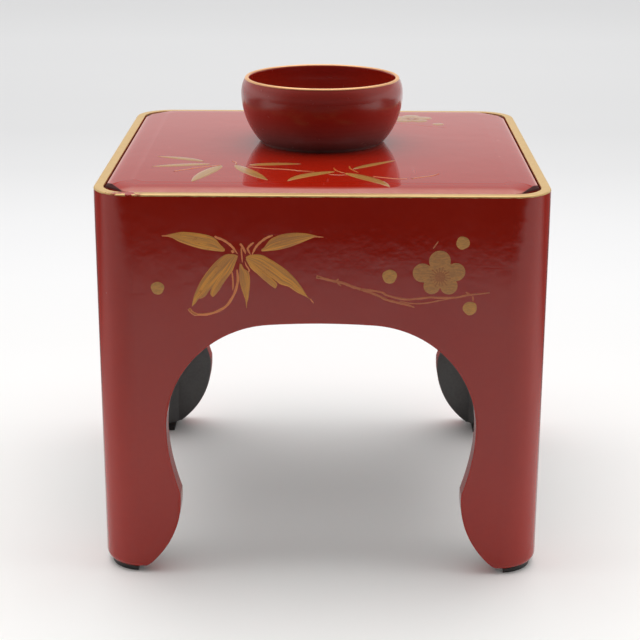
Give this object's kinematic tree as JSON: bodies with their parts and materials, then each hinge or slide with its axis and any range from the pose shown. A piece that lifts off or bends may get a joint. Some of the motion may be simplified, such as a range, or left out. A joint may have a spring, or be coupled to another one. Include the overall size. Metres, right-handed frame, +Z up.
{
  "type": "footed lunch box",
  "caption": "Square red lacquer lunch box on curved feet, with arched sides, a gilt rim, a drop-in lid with cut corners and a round bowl standing on the lid.",
  "frame": {"origin": "on the standing surface, under the middle of the square case", "axes": "+Z up, +X to the right and +Y to the back as seen from the ornamented front"},
  "size_m": [0.212, 0.212, 0.2246],
  "materials": {
    "red_lacquer": "gloss red lacquer outside, matt black inside, gilt rim",
    "black_lacquer": "black lacquer",
    "bare_wood": "bare wood",
    "bowl_lacquer": "satin red lacquer with a gilt lip"
  },
  "bodies": {
    "case": {"leg_front_left": "red_lacquer", "leg_front_right": "red_lacquer", "leg_back_right": "red_lacquer", "leg_back_left": "red_lacquer", "sole_front_left": "black_lacquer", "sole_front_right": "black_lacquer", "sole_back_right": "black_lacquer", "sole_back_left": "black_lacquer", "apron_front": "red_lacquer", "apron_right": "red_lacquer", "apron_back": "red_lacquer", "apron_left": "red_lacquer", "tongue_front_left": "bare_wood", "tongue_front_right": "bare_wood", "tongue_right_front": "bare_wood", "tongue_right_back": "bare_wood", "tongue_back_right": "bare_wood", "tongue_back_left": "bare_wood", "tongue_left_back": "bare_wood", "tongue_left_front": "bare_wood", "floor_board": "black_lacquer"},
    "lid": {"lid_panel": "red_lacquer"},
    "bowl": {"bowl": "bowl_lacquer"}
  },
  "joints": [
    {"name": "lid_lift", "type": "slide", "parent": "case", "child": "lid", "axis": [0, 0, 1], "range_m": [0, 0.12]},
    {"name": "bowl_lift", "type": "slide", "parent": "lid", "child": "bowl", "axis": [0, 0, 1], "range_m": [0, 0.1]}
  ]
}
